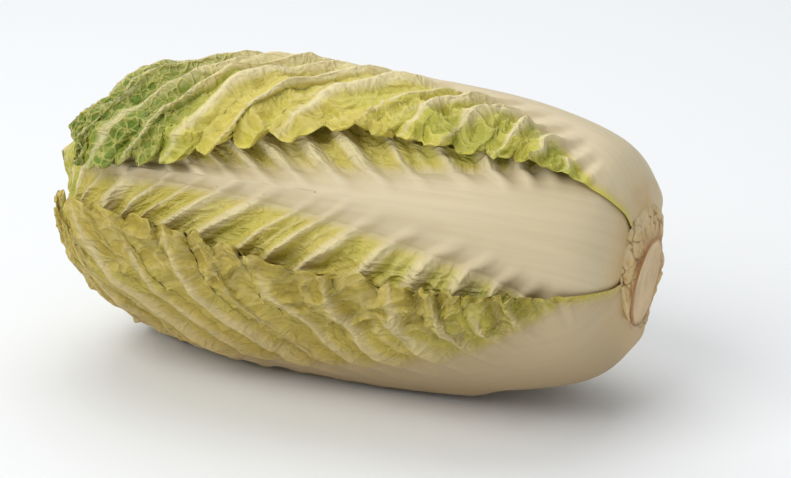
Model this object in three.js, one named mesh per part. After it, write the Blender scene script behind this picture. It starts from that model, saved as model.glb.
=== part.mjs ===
// A head of napa cabbage lying on its side, in millimetres, +Z up.
//
// The head's axis runs along X: the cut stem is at +X and the leaf tips are at -X. The origin lies on
// the small flat that the head rests on, below the axis and near the middle of the head's length.
// Turns are in degrees round the axis: 0 faces the front (-Y) and 90 faces up.
//
// Every leaf is a closed shell laid over the head. A place on it is given by two leaf coordinates:
// the row, which is the distance along the midrib where the row starts, and the span, from -1 at one
// side edge to 1 at the other. Rows follow the side veins, which slant towards the tip, so a ridge or
// a furrow always runs along a row.

import * as THREE from "three";

// ---- Driving dimensions -----------------------------------------------------------------------

// Outline of the head, from the stem to the tip: [distance along the axis, radius].
const HEAD_OUTLINE = [
  [148.5, 29],
  [145, 40],
  [128, 55],
  [90, 66],
  [42, 71.8],
  [-6, 74.2],
  [-54, 73.6],
  [-92, 66],
  [-117, 53.5],
  [-136, 38],
  [-148, 21.5],
  [-153, 4],
];
const AXIS_HEIGHT = 72.3;
const TIP_FROM = 215; // from the stem, along the outline, to where the leaves thin and pack closer
const TIP_TO = 305;
const TIP_PACKING = 0.45; // share of the distance between levels that is lost at the tip

const BLADE = 1.4; // thickness of a leaf's thin part
const GAP = 0.7; // kept between a leaf and what lies under it
const LEAF_ROOT = 1; // from the stem's side to the leaf's first row

const VEIN_PITCH = 18; // from one side vein to the next, along the midrib
const FIRST_VEIN = 46; // from the leaf's root
const RIDGE = 1.9; // of the side veins, up and down from the blade's middle
const LOBE_TURN = 2.6; // how far the edge's lobes reach, in degrees
const RUFFLE_REACH = 11; // from the edge into the blade
const FLARE_REACH = 15; // the same of a flap that stands out at a leaf's tip

const REST_TURN = -90;
const REST_HALF_TURN = 20; // of the flattened underside
const REST_FROM = 90; // along the head from the stem
const REST_TO = 230;
const REST_PRESS = 3;
const REST_FLAT = { middle: 0, halfLength: 32, halfWidth: 11, bow: 0.02 }; // beyond it the underside bows up

// The stem: radius of the cut disc, height of its face and of the core's end along the axis, radius of
// the collar of cut leaf bases, and how much the cut slants and hangs below the axis.
const STEM = { radius: 23.5, face: 154.5, tip: 92, collar: 31, collarFrom: 149.2, knobs: 10, slant: 0.16, drop: 4 };

// Leaves from the outermost inwards. turn: where the midrib lies. level: height of the blade's middle
// on the head's outline. rib: half width of the midrib at the stem. rise: how far the midrib stands
// above the blade. low and high: how far the two side edges reach from the midrib, in degrees, near
// the stem and near the tip. round: the last stretch, in which the tip is rounded off. ruffle: height
// of the waves at the low edge, the high edge and the tip. flare: a flap that stands out where the edge
// meets the tip, as its turn, its half width in degrees and its height. perVein: the mesh's rows to a side vein.
// bladeColumns: the mesh's columns on each side of the midrib.
const OUTER_LEAVES = [
  { name: "leaf_1_underside", turn: -60, level: -2.9, rib: 37, rise: 4.2, length: 294, perVein: 3, bladeColumns: 5,
    low: [55, 66], high: [60, 72], round: 80, ruffle: [3, 8.5, 2], flare: [2, 16, 6] },
  { name: "leaf_2_top", turn: 112, level: -2.9, rib: 33, rise: 4.2, length: 293, perVein: 3, bladeColumns: 5,
    low: [58, 84], high: [42, 58], round: 80, ruffle: [8, 7.5, 2], flare: [40, 18, 6] },
  { name: "leaf_3_back_low", turn: 222, level: -6.8, rib: 28, rise: 6.4, length: 290, perVein: 2, bladeColumns: 4,
    low: [40, 52], high: [52, 62], round: 70, ruffle: [3, 0, 2], flare: [0, 1, 0] },
  { name: "leaf_4_front", turn: 29, level: -6.8, rib: 27, rise: 6.8, length: 292, perVein: 3, bladeColumns: 4,
    low: [55, 62], high: [50, 62], round: 70, ruffle: [0, 0, 2], flare: [0, 1, 0] },
  { name: "leaf_5_back_high", turn: 166, level: -10.2, rib: 25, rise: 9, length: 302, perVein: 2, bladeColumns: 4,
    low: [44, 58], high: [44, 60], round: 70, ruffle: [0, 0, 2], flare: [0, 1, 0] },
];
const INNER_LEAVES = [
  { name: "inner_leaf_1", turn: 62, level: -14.2, length: 316 },
  { name: "inner_leaf_2", turn: 242, level: -14.2, length: 310 },
  { name: "inner_leaf_3", turn: -28, level: -18.0, length: 322 },
  { name: "inner_leaf_4", turn: 152, level: -18.0, length: 326 },
].map((leaf) => ({
  rib: 24, rise: 2.6, low: [44, 84], high: [44, 84], round: 45, ruffle: [0, 0, 2], flare: [0, 1, 0],
  inner: true, perVein: 1, bladeColumns: 4,
  ...leaf,
}));
const HEART = { level: -24.7, from: 9, to: 338, rings: 18, sectors: 30, folds: 5, foldStep: 3, twist: 0.5 };

const COLOURS = { outer: 0xd3d29a, inner: 0xdedb96, heart: 0xe4dd9c, stem: 0xdcc9a4 };

// ---- Small helpers ----------------------------------------------------------------------------

const { degToRad, clamp, smoothstep, lerp, euclideanModulo } = THREE.MathUtils;

// The larger of two heights, rounded where they meet.
function softMax(a, b, round = 1) {
  return 0.5 * (a + b + Math.hypot(a - b, round));
}

// ---- The head's outline -----------------------------------------------------------------------

const outline = new THREE.SplineCurve(HEAD_OUTLINE.map(([x, r]) => new THREE.Vector2(x, r)));
outline.arcLengthDivisions = 600;
const HEAD_LENGTH = outline.getLength();

// A point of the outline and the direction away from the head there.
function outlineAt(along) {
  const u = clamp(along / HEAD_LENGTH, 0, 1);
  const point = outline.getPointAt(u);
  const tangent = outline.getTangentAt(u);
  return { x: point.x, r: point.y, nx: tangent.y, nr: -tangent.x };
}

// How far the levels are squeezed towards the outline, from 1 over most of the head down to the tip.
function packing(along) {
  return 1 - TIP_PACKING * smoothstep(along, TIP_FROM, TIP_TO);
}

// The point of the head at a place along it, a turn round it and a height over its outline.
function headPoint(along, turn, height) {
  const { x, r, nx, nr } = outlineAt(along);
  const reach = r + height * nr;
  const angle = degToRad(turn);
  return new THREE.Vector3(x + height * nx, -reach * Math.cos(angle), AXIS_HEIGHT + reach * Math.sin(angle));
}

// The height over the outline at which the head meets the surface it lies on, or, beyond the small
// flat, the underside that bows up slightly from it.
function floorHeight(along, turn) {
  const down = -Math.sin(degToRad(turn));
  const { x, r, nr } = outlineAt(along);
  if (down <= 0.2 || nr <= 0.5) return Infinity;
  const { middle, halfLength, halfWidth, bow } = REST_FLAT;
  const y = (AXIS_HEIGHT / down) * Math.cos(degToRad(turn));
  const beyond = Math.hypot(Math.max(0, Math.abs(x - middle) - halfLength), Math.max(0, Math.abs(y) - halfWidth));
  return ((AXIS_HEIGHT - bow * beyond) / down - r) / nr;
}

// How much of the resting flat's pressure is felt: 1 in its middle, 0 outside it.
function restShare(along, turn) {
  const off = Math.abs(euclideanModulo(turn - REST_TURN + 180, 360) - 180);
  const across = 1 - smoothstep(off, REST_HALF_TURN, REST_HALF_TURN + 12);
  const ahead = smoothstep(along, REST_FROM - 20, REST_FROM);
  return across * ahead * (1 - smoothstep(along, REST_TO, REST_TO + 20));
}

// ---- What already lies on the head --------------------------------------------------------------

// A map of heights over the outline, in cells along and round the head.
class Cover {
  constructor(stepAlong = 4, stepTurn = 3) {
    this.stepAlong = stepAlong;
    this.stepTurn = stepTurn;
    this.rows = Math.ceil(HEAD_LENGTH / stepAlong) + 1;
    this.columns = 360 / stepTurn;
    this.height = new Float64Array(this.rows * this.columns).fill(-60);
  }

  cell(row, column) {
    return clamp(row, 0, this.rows - 1) * this.columns + euclideanModulo(column, this.columns);
  }

  at(along, turn) {
    const y = clamp(along / this.stepAlong, 0, this.rows - 1.001);
    const x = euclideanModulo(turn, 360) / this.stepTurn;
    const row = Math.floor(y);
    const column = Math.floor(x);
    const near = lerp(this.height[this.cell(row, column)], this.height[this.cell(row, column + 1)], x - column);
    const far = lerp(this.height[this.cell(row + 1, column)], this.height[this.cell(row + 1, column + 1)], x - column);
    return lerp(near, far, y - row);
  }

  raise(along, turn, height) {
    const cell = this.cell(Math.round(along / this.stepAlong), Math.round(turn / this.stepTurn));
    this.height[cell] = Math.max(this.height[cell], height);
  }

  // A copy in which every cell has the largest height, or the mean one, of those round it.
  filtered(reachAlong, reachTurn, combine) {
    const copy = new Cover(this.stepAlong, this.stepTurn);
    for (let row = 0; row < this.rows; row++) {
      for (let column = 0; column < this.columns; column++) {
        const found = [];
        for (let i = -reachAlong; i <= reachAlong; i++) {
          for (let j = -reachTurn; j <= reachTurn; j++) found.push(this.height[this.cell(row + i, column + j)]);
        }
        copy.height[row * this.columns + column] = combine(found);
      }
    }
    return copy;
  }

  // The surface that a leaf laid over all this would follow.
  draped(reachAlong = 2, reachTurn = 3) {
    const largest = (all) => Math.max(...all);
    const mean = (all) => all.reduce((sum, one) => sum + one, 0) / all.length;
    return this.filtered(reachAlong, reachTurn, largest).filtered(1, 1, mean);
  }
}

// ---- A leaf's shape -----------------------------------------------------------------------------

const RIB_SPAN = 0.36; // the part of the span that the midrib takes

// Half width of the midrib, which narrows quickly past the first third of the leaf.
function ribHalfWidth(leaf, row) {
  return (leaf.rib * (0.82 + 0.18 * smoothstep(row, 0, 30))) / (1 + (row / 122) ** 3.2) + 1.5;
}

// Side veins are counted from the first one: whole numbers lie on a vein and halves between two.
function veinCount(row) {
  return (row - FIRST_VEIN) / VEIN_PITCH;
}

// How far the end of a row lies ahead of its start, because side veins slant towards the tip.
function slant(leaf, row) {
  const steady = 74 * smoothstep(row, 15, 210);
  const tip = (leaf.length - row) * 0.84;
  return Math.min(steady, tip);
}

// The turn from the midrib to a side edge at the end of a row, rounded off round the tip.
function edgeTurn(leaf, row, side) {
  const [near, far] = side < 0 ? leaf.low : leaf.high;
  const reach = lerp(near, far, smoothstep(row, 90, 190));
  const round = clamp((row - (leaf.length - leaf.round)) / leaf.round, 0, 1);
  const lobes = -LOBE_TURN * Math.cos(2 * Math.PI * veinCount(row)) * smoothstep(row, 30, 70);
  return (reach + lobes) * Math.sqrt(1 - 0.985 * round ** 2.4);
}

// Where a leaf coordinate lies on the head, and the heights of the leaf's outer and inner faces.
function leafPlace(leaf, row, span, under) {
  const side = span < 0 ? -1 : 1;
  const reach = Math.abs(span);
  const blade = clamp((reach - RIB_SPAN) / (1 - RIB_SPAN), 0, 1);
  const radius = outlineAt(row).r;
  const ribTurn = Math.min(THREE.MathUtils.radToDeg(ribHalfWidth(leaf, row) / radius), 0.8 * edgeTurn(leaf, row, side));
  const edge = edgeTurn(leaf, row, side);
  const across = reach < RIB_SPAN ? (ribTurn * reach) / RIB_SPAN : lerp(ribTurn, edge, blade);
  const turn = leaf.turn + side * across;
  const along = LEAF_ROOT + row + slant(leaf, row) * (1.5 * blade - 0.5 * blade ** 2);

  const count = veinCount(row);
  const wave = Math.cos(2 * Math.PI * count);
  const started = smoothstep(row, FIRST_VEIN - 12, FIRST_VEIN + 20);
  const fromEdge = degToRad(edge - across) * outlineAt(along).r;
  const fromTip = leaf.length - along;
  const press = leaf.level > -4 ? restShare(along, turn) : 0;
  const fine = leaf.inner ? 0 : 1;

  const ridge = fine * RIDGE * wave * started * smoothstep(blade, 0, 0.35) * (1 - press);
  const edgeWave = 0.5 - 0.5 * wave;
  const sideRuffle = leaf.ruffle[side < 0 ? 0 : 1] * Math.exp(-fromEdge / RUFFLE_REACH) * started;
  const tipRuffle = leaf.ruffle[2] * Math.exp(-Math.max(fromTip, 0) / 16) * (0.5 + 0.5 * Math.sin(turn * 0.21 + leaf.turn));
  const [flareTurn, flareWidth, flareHeight] = leaf.flare;
  const fromMargin = Math.max(Math.min(fromEdge, fromTip), 0);
  const flare = flareHeight * Math.exp(-(((turn - flareTurn) / flareWidth) ** 2)) * Math.exp(-fromMargin / FLARE_REACH)
    * smoothstep(along, TIP_FROM + 20, TIP_FROM + 75);

  const bulge = Math.sqrt(Math.max(0, 1 - Math.min(reach / RIB_SPAN, 1) ** 2.2));
  const ribRise = leaf.rise * (0.3 + 0.7 / (1 + (row / 185) ** 4)) * (0.7 + 0.3 * smoothstep(row, 0, 25));
  const thickness = BLADE + ribRise * bulge * (0.45 + 0.55 * smoothstep(fromTip, 0, 40));

  let inside = leaf.level * packing(along) - BLADE / 2 + ridge + sideRuffle * edgeWave * (1 - press) + tipRuffle + flare;
  inside += REST_PRESS * press;
  inside = softMax(inside, under.at(along, turn) + (leaf.inner ? 2 : 1) * GAP);
  let outside = inside + thickness;
  const floor = floorHeight(along, turn) - (leaf.level > -4 ? 0 : 2.6 + 0.5 * Math.max(0, -leaf.level - 7));
  if (outside > floor) {
    outside = floor;
    inside = Math.min(inside, floor - Math.max(BLADE, 0.45 * thickness));
  }
  return { along, turn, inside, outside };
}

// ---- Closed meshes --------------------------------------------------------------------------------

// A closed shell from two grids of points of the same size, the outer one and the inner one, split
// into triangles alike.
function shellGeometry(outer, inner) {
  const rows = outer.length;
  const columns = outer[0].length;
  const positions = [...outer.flat(), ...inner.flat()].flatMap((p) => [p.x, p.y, p.z]);
  const out = (i, j) => i * columns + j;
  const back = (i, j) => rows * columns + out(i, j);
  const faces = [];
  const quad = (a, b, c, d) => faces.push(a, b, c, a, c, d);
  for (let i = 0; i + 1 < rows; i++) {
    for (let j = 0; j + 1 < columns; j++) {
      quad(out(i, j), out(i, j + 1), out(i + 1, j + 1), out(i + 1, j));
      faces.push(back(i, j), back(i + 1, j + 1), back(i, j + 1));
      faces.push(back(i, j), back(i + 1, j), back(i + 1, j + 1));
    }
  }
  for (let i = 0; i + 1 < rows; i++) {
    quad(out(i, 0), out(i + 1, 0), back(i + 1, 0), back(i, 0));
    quad(out(i + 1, columns - 1), out(i, columns - 1), back(i, columns - 1), back(i + 1, columns - 1));
  }
  for (let j = 0; j + 1 < columns; j++) {
    quad(out(0, j + 1), out(0, j), back(0, j), back(0, j + 1));
    quad(out(rows - 1, j), out(rows - 1, j + 1), back(rows - 1, j + 1), back(rows - 1, j));
  }
  const geometry = new THREE.BufferGeometry();
  geometry.setAttribute("position", new THREE.Float32BufferAttribute(positions, 3));
  geometry.setIndex(faces);
  return geometry;
}

// A closed body of rings round the axis between two end points on it. ringPoint gives the place of a
// sector of a ring.
function ringGeometry(first, ringCount, last, sectors, ringPoint) {
  const points = [first];
  for (let i = 0; i < ringCount; i++) {
    for (let j = 0; j < sectors; j++) points.push(ringPoint(i, j));
  }
  points.push(last);
  const at = (i, j) => 1 + i * sectors + (j % sectors);
  const end = points.length - 1;
  const faces = [];
  for (let j = 0; j < sectors; j++) {
    faces.push(0, at(0, j), at(0, j + 1));
    for (let i = 0; i + 1 < ringCount; i++) {
      faces.push(at(i, j), at(i + 1, j + 1), at(i, j + 1));
      faces.push(at(i, j), at(i + 1, j), at(i + 1, j + 1));
    }
    faces.push(end, at(ringCount - 1, j + 1), at(ringCount - 1, j));
  }
  const geometry = new THREE.BufferGeometry();
  geometry.setAttribute("position", new THREE.Float32BufferAttribute(points.flatMap((p) => [p.x, p.y, p.z]), 3));
  geometry.setIndex(faces);
  return geometry;
}

function axisPoint(x, radius, turn) {
  const angle = degToRad(turn);
  return new THREE.Vector3(x, -radius * Math.cos(angle), AXIS_HEIGHT + radius * Math.sin(angle));
}

// ---- The pieces -----------------------------------------------------------------------------------

const cabbage = new THREE.Group();
cabbage.name = "napa_cabbage";

function addPiece(name, geometry, colour, roughness) {
  const mesh = new THREE.Mesh(geometry, new THREE.MeshStandardMaterial({ color: colour, roughness, metalness: 0 }));
  mesh.name = name;
  cabbage.add(mesh);
}

// Radius of the stem inside the head, where it narrows to a blunt point.
function coreRadius(x) {
  const { radius, face, tip } = STEM;
  return x > 144 ? radius : radius * Math.sqrt(clamp((x - tip) / (face - tip), 0, 1)) * 0.94;
}

// The cut stem: a disc with a slightly hollow face, a collar of knobby cut leaf bases, and the core
// that reaches into the heart. The cut slants, and the disc hangs a little below the axis.
function makeStem() {
  const { radius, face, tip, collar, collarFrom, knobs, slant: cutSlant, drop } = STEM;
  const sectors = 4 * knobs;
  const knob = (turn) => collar - 2.6 * (1 - Math.abs(Math.sin(degToRad((turn * knobs) / 2))));
  const rings = [
    () => [face - 1.4, 9],
    () => [face - 0.5, 17],
    () => [face, radius - 3],
    () => [face - 0.7, radius - 0.6],
    () => [face - 2.2, radius + 0.2],
    (turn) => [face - 2.3, knob(turn) - 2],
    (turn) => [face - 3.4, knob(turn)],
    (turn) => [collarFrom, knob(turn) - 1.2],
    () => [collarFrom, coreRadius(145)],
    ...[139, 126, 110, 98].map((x) => () => [x, coreRadius(x)]),
  ];
  const place = (i, j) => {
    const turn = (-360 * j) / sectors;
    const [x, r] = rings[i](turn);
    const point = axisPoint(x, r, turn);
    const cut = smoothstep(x, collarFrom, face);
    point.x -= cutSlant * point.y * cut;
    point.z -= drop * cut;
    return point;
  };
  const middle = axisPoint(face - 1.6, 0, 0);
  middle.z -= drop;
  const geometry = ringGeometry(middle, rings.length, axisPoint(tip, 0, 0), sectors, place);
  addPiece("stem", geometry, COLOURS.stem, 0.6);
}

// Height of the heart's surface, with the steps of its overlapping leaf tips near the end.
function heartHeight(along, turn) {
  const { level, folds, foldStep, twist } = HEART;
  const tipShare = smoothstep(along, 150, 260);
  const fold = euclideanModulo(((turn + twist * along) * folds) / 360, 1);
  return level * packing(along) + foldStep * tipShare * (fold - 0.5);
}

// The heart: the packed inner leaves round the stem's core, in one body.
function makeHeart(cover) {
  const { from, to, rings, sectors } = HEART;
  const coreStops = [96, 108, 122];
  const outerStops = Array.from({ length: rings }, (_, i) => from + ((to - from) * i) / (rings - 1));
  const ringCount = coreStops.length + outerStops.length;
  const place = (i, j) => {
    const turn = (-360 * j) / sectors;
    if (i < coreStops.length) return axisPoint(coreStops[i], coreRadius(coreStops[i]) + 0.8, turn);
    const along = outerStops[i - coreStops.length];
    return headPoint(along, turn, heartHeight(along, turn));
  };
  const tipEnd = headPoint(to, 0, heartHeight(to, 0)).x - 1;
  const geometry = ringGeometry(axisPoint(STEM.tip - 2, 0, 0), ringCount, axisPoint(tipEnd, 0, 0), sectors, place);
  for (let along = 0; along < HEAD_LENGTH; along += cover.stepAlong) {
    for (let turn = 0; turn < 360; turn += cover.stepTurn) cover.raise(along, turn, heartHeight(along, turn));
  }
  addPiece("heart", geometry, COLOURS.heart, 0.55);
}

// Where a leaf's rows start along its midrib: a few in the smooth part, then the same for each side vein.
function leafRows(leaf) {
  const step = VEIN_PITCH / leaf.perVein;
  const rows = leaf.inner ? [0, 20] : [0, 9, 20, 33];
  for (let row = FIRST_VEIN; row < leaf.length - 3; row += step) rows.push(row);
  rows.push(leaf.length - 0.5);
  return rows;
}

// The spans of a leaf's columns, closer together on the midrib.
function leafSpans(leaf) {
  const columns = leaf.bladeColumns;
  const rib = leaf.inner ? [0, 0.6] : [0, 0.45, 0.85];
  const blade = Array.from({ length: columns }, (_, k) => RIB_SPAN + ((1 - RIB_SPAN) * k) / (columns - 1));
  const high = [...rib.map((share) => share * RIB_SPAN), ...blade];
  return [...high.slice(1).reverse().map((span) => -span), ...high];
}

function makeLeaf(leaf, cover) {
  const under = cover.draped();
  const spans = leafSpans(leaf);
  const places = leafRows(leaf).map((row) => spans.map((span) => leafPlace(leaf, row, span, under)));
  const face = (side) => places.map((row) => row.map((p) => headPoint(p.along, p.turn, p[side])));
  addPiece(leaf.name, shellGeometry(face("outside"), face("inside")), leaf.inner ? COLOURS.inner : COLOURS.outer, 0.5);
  for (let row = 0; row <= leaf.length; row += 2) {
    for (let span = -1; span <= 1; span += 0.02) {
      const p = leafPlace(leaf, row, span, under);
      cover.raise(p.along, p.turn, p.outside);
    }
  }
}

makeStem();
const cover = new Cover();
makeHeart(cover);
[...OUTER_LEAVES, ...INNER_LEAVES].reverse().forEach((leaf) => makeLeaf(leaf, cover));

export default cabbage;
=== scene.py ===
"""A head of napa cabbage on a pale floor: finely modelled leaves, heart and stem over the CAD frame.

Every surface is a function of two parameters, worked out on whole numpy arrays in millimetres and
put into a mesh in metres. A place on the head is given by the distance along its outline from the
stem, the turn round its axis (0 faces the front, 90 faces up) and the height over the outline.
"""

import math
from types import SimpleNamespace as Record

import bpy
import numpy as np
from bpy.props import FloatProperty, FloatVectorProperty, PointerProperty
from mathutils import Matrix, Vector


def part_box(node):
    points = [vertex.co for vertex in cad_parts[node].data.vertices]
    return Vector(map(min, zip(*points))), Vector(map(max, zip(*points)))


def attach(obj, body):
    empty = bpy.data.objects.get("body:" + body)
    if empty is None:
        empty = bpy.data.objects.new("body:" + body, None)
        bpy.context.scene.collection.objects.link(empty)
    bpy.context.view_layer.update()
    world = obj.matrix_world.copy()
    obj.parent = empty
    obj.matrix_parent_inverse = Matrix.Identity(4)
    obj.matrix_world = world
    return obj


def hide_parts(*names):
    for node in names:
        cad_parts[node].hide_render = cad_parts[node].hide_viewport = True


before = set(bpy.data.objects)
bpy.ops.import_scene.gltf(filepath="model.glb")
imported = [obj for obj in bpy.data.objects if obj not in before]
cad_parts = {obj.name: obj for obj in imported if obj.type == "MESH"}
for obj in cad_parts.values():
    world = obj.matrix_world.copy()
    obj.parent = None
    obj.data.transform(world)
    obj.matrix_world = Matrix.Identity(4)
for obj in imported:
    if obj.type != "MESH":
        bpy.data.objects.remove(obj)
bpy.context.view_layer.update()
BODY = "root"
MM = 0.001

bl_info = {
    "name": "Napa cabbage",
    "version": (1, 0, 0),
    "blender": (4, 5, 0),
    "location": "View3D > Sidebar > Cabbage",
    "description": "Builds the leaves, heart and stem of a napa cabbage and a studio stage",
    "category": "Add Mesh",
}

# ---- The head's shape, in millimetres and degrees ----

HEAD_OUTLINE = np.array([
    [148.5, 29], [145, 40], [128, 55], [90, 66], [42, 71.8], [-6, 74.2],
    [-54, 73.6], [-92, 66], [-117, 53.5], [-136, 38], [-148, 21.5], [-153, 4],
], float)
# The middle of the heart's box is the head's axis.
AXIS_HEIGHT = (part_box("heart")[0].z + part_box("heart")[1].z) / 2 / MM
TIP_FROM, TIP_TO, TIP_PACKING = 215, 305, 0.45  # between these, a leaf loses this share of its level

BLADE = 1.2  # a leaf's thickness inside its margin
MARGIN_BLADE = 0.55  # and at the margin
OUTERMOST_LEVEL = -4  # leaves that lie higher than this reach the floor
GAP = 0.5  # from a leaf to what it lies on
LEAF_ROOT = -1.5  # where the leaves begin, 1.5 mm before the outline's first point
RIB_SPAN = 0.3  # share of a leaf's span, on each side, that its midrib takes up
BLADE_SLANT = 74  # how far towards the tip a row of the blade ends
VEIN_PITCH = 18  # from one side vein to the next along the midrib, past the leaf's foot
FOOT_PITCH = 8  # the same at the leaf's foot
VEIN_LEAN = 0.55  # sine of the angle between a side vein and the midrib
LOBE_TURN = 5.6  # depth of the margin's lobes, in degrees round the head
LOBES_PER_VEIN, LOBE_SHIFT = 1.5, 0.25  # lobes to a side vein, and where the first notch lies
FOLD_CREST = 0.3  # where the crest of a fold stands between one crease, 0, and the next, 1
FLARE_REACH = 15  # from the margin into the blade, of a flap that stands out at a leaf's tip
LOBE_BAND = (16, 42)  # from the margin: where the blade starts to lie flatter, and where it has
VEIN_STARTS = (20, 110)  # rows between which the side veins' spacing widens
# Heights of what makes up a leaf's relief. Hollows are kept over 0, the blade's mean lies at "ground".
RELIEF = Record(
    vein=3.2, vein_at_margin=2.0, lesser=1.5, lesser_at_margin=1.0, pleat=0.9, sag=-1.9, net=0.95,
    fine_net=0.35, bulge=2.0, crease=1.8, fine_crease=0.5, broad=1.2, ground=2.9,
)
# From the margin into the blade: the reach of its folds, of the smaller ones on them and of thin waves.
FOLD_REACH, SMALL_FOLD_REACH, WAVE_REACH = 23, 12, 5
WAVE_LENGTH = 6.1  # of the thin waves
FOLD_TURN = 21  # degrees round the head from one fold to the next, round a leaf's tip
DEGREE = np.radians(1)

REST_TURN, REST_HALF_TURN = -90, 20  # where the head rests, round its axis
REST_FROM, REST_TO = 90, 230  # and along its outline
REST_PRESS = 3  # how far the lowest leaf is pressed in there
# The flat that it rests on. Beyond it the underside bows up.
REST_FLAT = Record(middle=0, half_length=32, half_width=11, bow=0.02)

STEM = Record(
    radius=21, face=150.8, root=-0.4, knobs=9, lean_side=0.03, lean_up=0.12, drop=7.5,
    face_rings=26, rim_rings=8, skin_rings=34, core=((145, 22), (139, 20), (126, 16), (110, 10)),
)
HEART = Record(level=-24.7, start=120, end=338, folds=5, fold_step=4, twist=0.5)

# One row for each leaf. turn, level, rib, rise, length, low, high and round are the CAD leaf's own.
# ruffle: height of the folds at the low edge, the high edge and the tip. flare: turn, half width and
# height of a flap that stands out where the edge meets the tip. shown: how many degrees of each side lie
# open. green: how green the leaf is at its tip. tan: how far it has turned brown below,
# together with painted shade that darkens its underside. crinkle: how strong its relief is. rows and
# columns: the mesh's size, both odd.
LEAF_KEYS = (
    "node", "turn", "level", "rib", "rise", "length", "low", "high", "round",
    "ruffle", "flare", "shown", "green", "tan", "crinkle", "rows", "columns", "seed",
)
NO_FLARE = (0, 1, 0)
OUTER_LEAVES = [Record(**dict(zip(LEAF_KEYS, row))) for row in (
    ("leaf_1_underside", -60, -2.9, 37, 4.2, 299, (55, 66), (60, 72), 80,
     (3, 7.5, 1), (8, 24, 6.5), (70, 90), 0.1, 1.0, 1.25, 301, 251, 11),
    ("leaf_2_top", 112, -2.9, 33, 4.2, 291, (58, 84), (42, 58), 80,
     (5.5, 3.5, 3), (40, 18, 4), (100, 70), 1.25, 0.0, 1.3, 301, 251, 23),
    ("leaf_3_back_low", 222, -6.8, 28, 6.4, 290, (40, 52), (52, 62), 70,
     (2, 0, 3), NO_FLARE, (70, 24), 0.35, 0.6, 1.0, 231, 161, 37),
    ("leaf_4_front", 29, -6.8, 27, 6.8, 294, (55, 62), (50, 62), 70,
     (0, 0, 3), NO_FLARE, (40, 40), 0.05, 0.0, 1.15, 301, 241, 41),
    ("leaf_5_back_high", 166, -10.2, 25, 9, 302, (44, 58), (44, 60), 70,
     (0, 0, 3), NO_FLARE, (22, 30), 0.7, 0.0, 1.0, 231, 151, 53),
)]
INNER_LEAVES = [Record(**dict(zip(LEAF_KEYS, (
    node, turn, level, 24, 2.6, length, (44, 84), (44, 84), 45,
    (0, 0, 3), flare, (90, 90), 0.42, 0.0, 0.9, 121, 101, seed,
)))) for node, turn, level, length, flare, seed in (
    ("inner_leaf_1", 62, -14.2, 324, (46, 20, 11), 61),
    ("inner_leaf_2", 242, -14.2, 314, NO_FLARE, 67),
    ("inner_leaf_3", -28, -18.0, 326, NO_FLARE, 71),
    ("inner_leaf_4", 152, -18.0, 330, NO_FLARE, 79),
)]


# ---- Numbers on whole arrays ----


def smoothstep(x, low, high):
    """0 below low, 1 above high, and 3t^2 - 2t^3 between them."""
    t = np.clip((x - low) / (high - low), 0, 1)
    return t * t * (3 - 2 * t)


def fall(x, low, high):
    """1 below low and 0 above high."""
    return 1 - smoothstep(x, low, high)


def ridge(off, width):
    """A rounded ridge, exp(-(off / width)^2)."""
    return np.exp(-((off / width) ** 2))


def lerp(a, b, share):
    """a at share 0 and b at share 1."""
    return a + (b - a) * share


def soft_max(a, b, round_by=1.0):
    """The larger of a and b, with the corner rounded: half of a + b + sqrt((a - b)^2 + round_by^2)."""
    return 0.5 * (a + b + np.hypot(a - b, round_by))


def soft_min(a, b, round_by=1.0):
    """The smaller of a and b, rounded in the same way."""
    return -soft_max(-a, -b, round_by)


def draw(x, y, seed):
    """A repeatable number from 0 to 1 for each whole-number place: an integer hash of x, y and seed."""
    n = (x.astype(np.int64) * 374761393 + y.astype(np.int64) * 668265263 + seed * 974634777) & 0xFFFFFFFF
    n = ((n ^ (n >> 13)) * 1274126177) & 0xFFFFFFFF
    return ((n ^ (n >> 16)) & 0xFFFFFF) / 0x1000000


def wander(x, y, seed):
    """Smooth noise from -1 to 1: draws at whole numbers, blended between them along both ways."""
    x, y = np.broadcast_arrays(np.asarray(x, float), np.asarray(y, float))
    x0, y0 = np.floor(x), np.floor(y)
    u, v = smoothstep(x - x0, 0, 1), smoothstep(y - y0, 0, 1)
    near = lerp(draw(x0, y0, seed), draw(x0 + 1, y0, seed), u)
    far = lerp(draw(x0, y0 + 1, seed), draw(x0 + 1, y0 + 1, seed), u)
    return 2 * lerp(near, far, v) - 1


def cells(x, y, seed):
    """Scattered cells: how much farther the second nearest of the points scattered one to a square is
    than the nearest, which is 0 on the line between two cells, and the nearest one's own draw."""
    x0, y0 = np.floor(x), np.floor(y)
    nearest, second, own = np.full(x.shape, 9.0), np.full(x.shape, 9.0), np.zeros(x.shape)
    for i in (-1, 0, 1):
        for j in (-1, 0, 1):
            cx, cy = x0 + i, y0 + j
            point_x, point_y = (at + 0.1 + 0.8 * draw(cx, cy, seed + k) for k, at in enumerate((cx, cy)))
            away = np.hypot(point_x - x, point_y - y)
            closer = away < nearest
            second = np.where(closer, nearest, np.minimum(second, away))
            own = np.where(closer, draw(cx, cy, seed + 2), own)
            nearest = np.where(closer, away, nearest)
    return second - nearest, own


# ---- The outline and what lies on it ----


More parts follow.
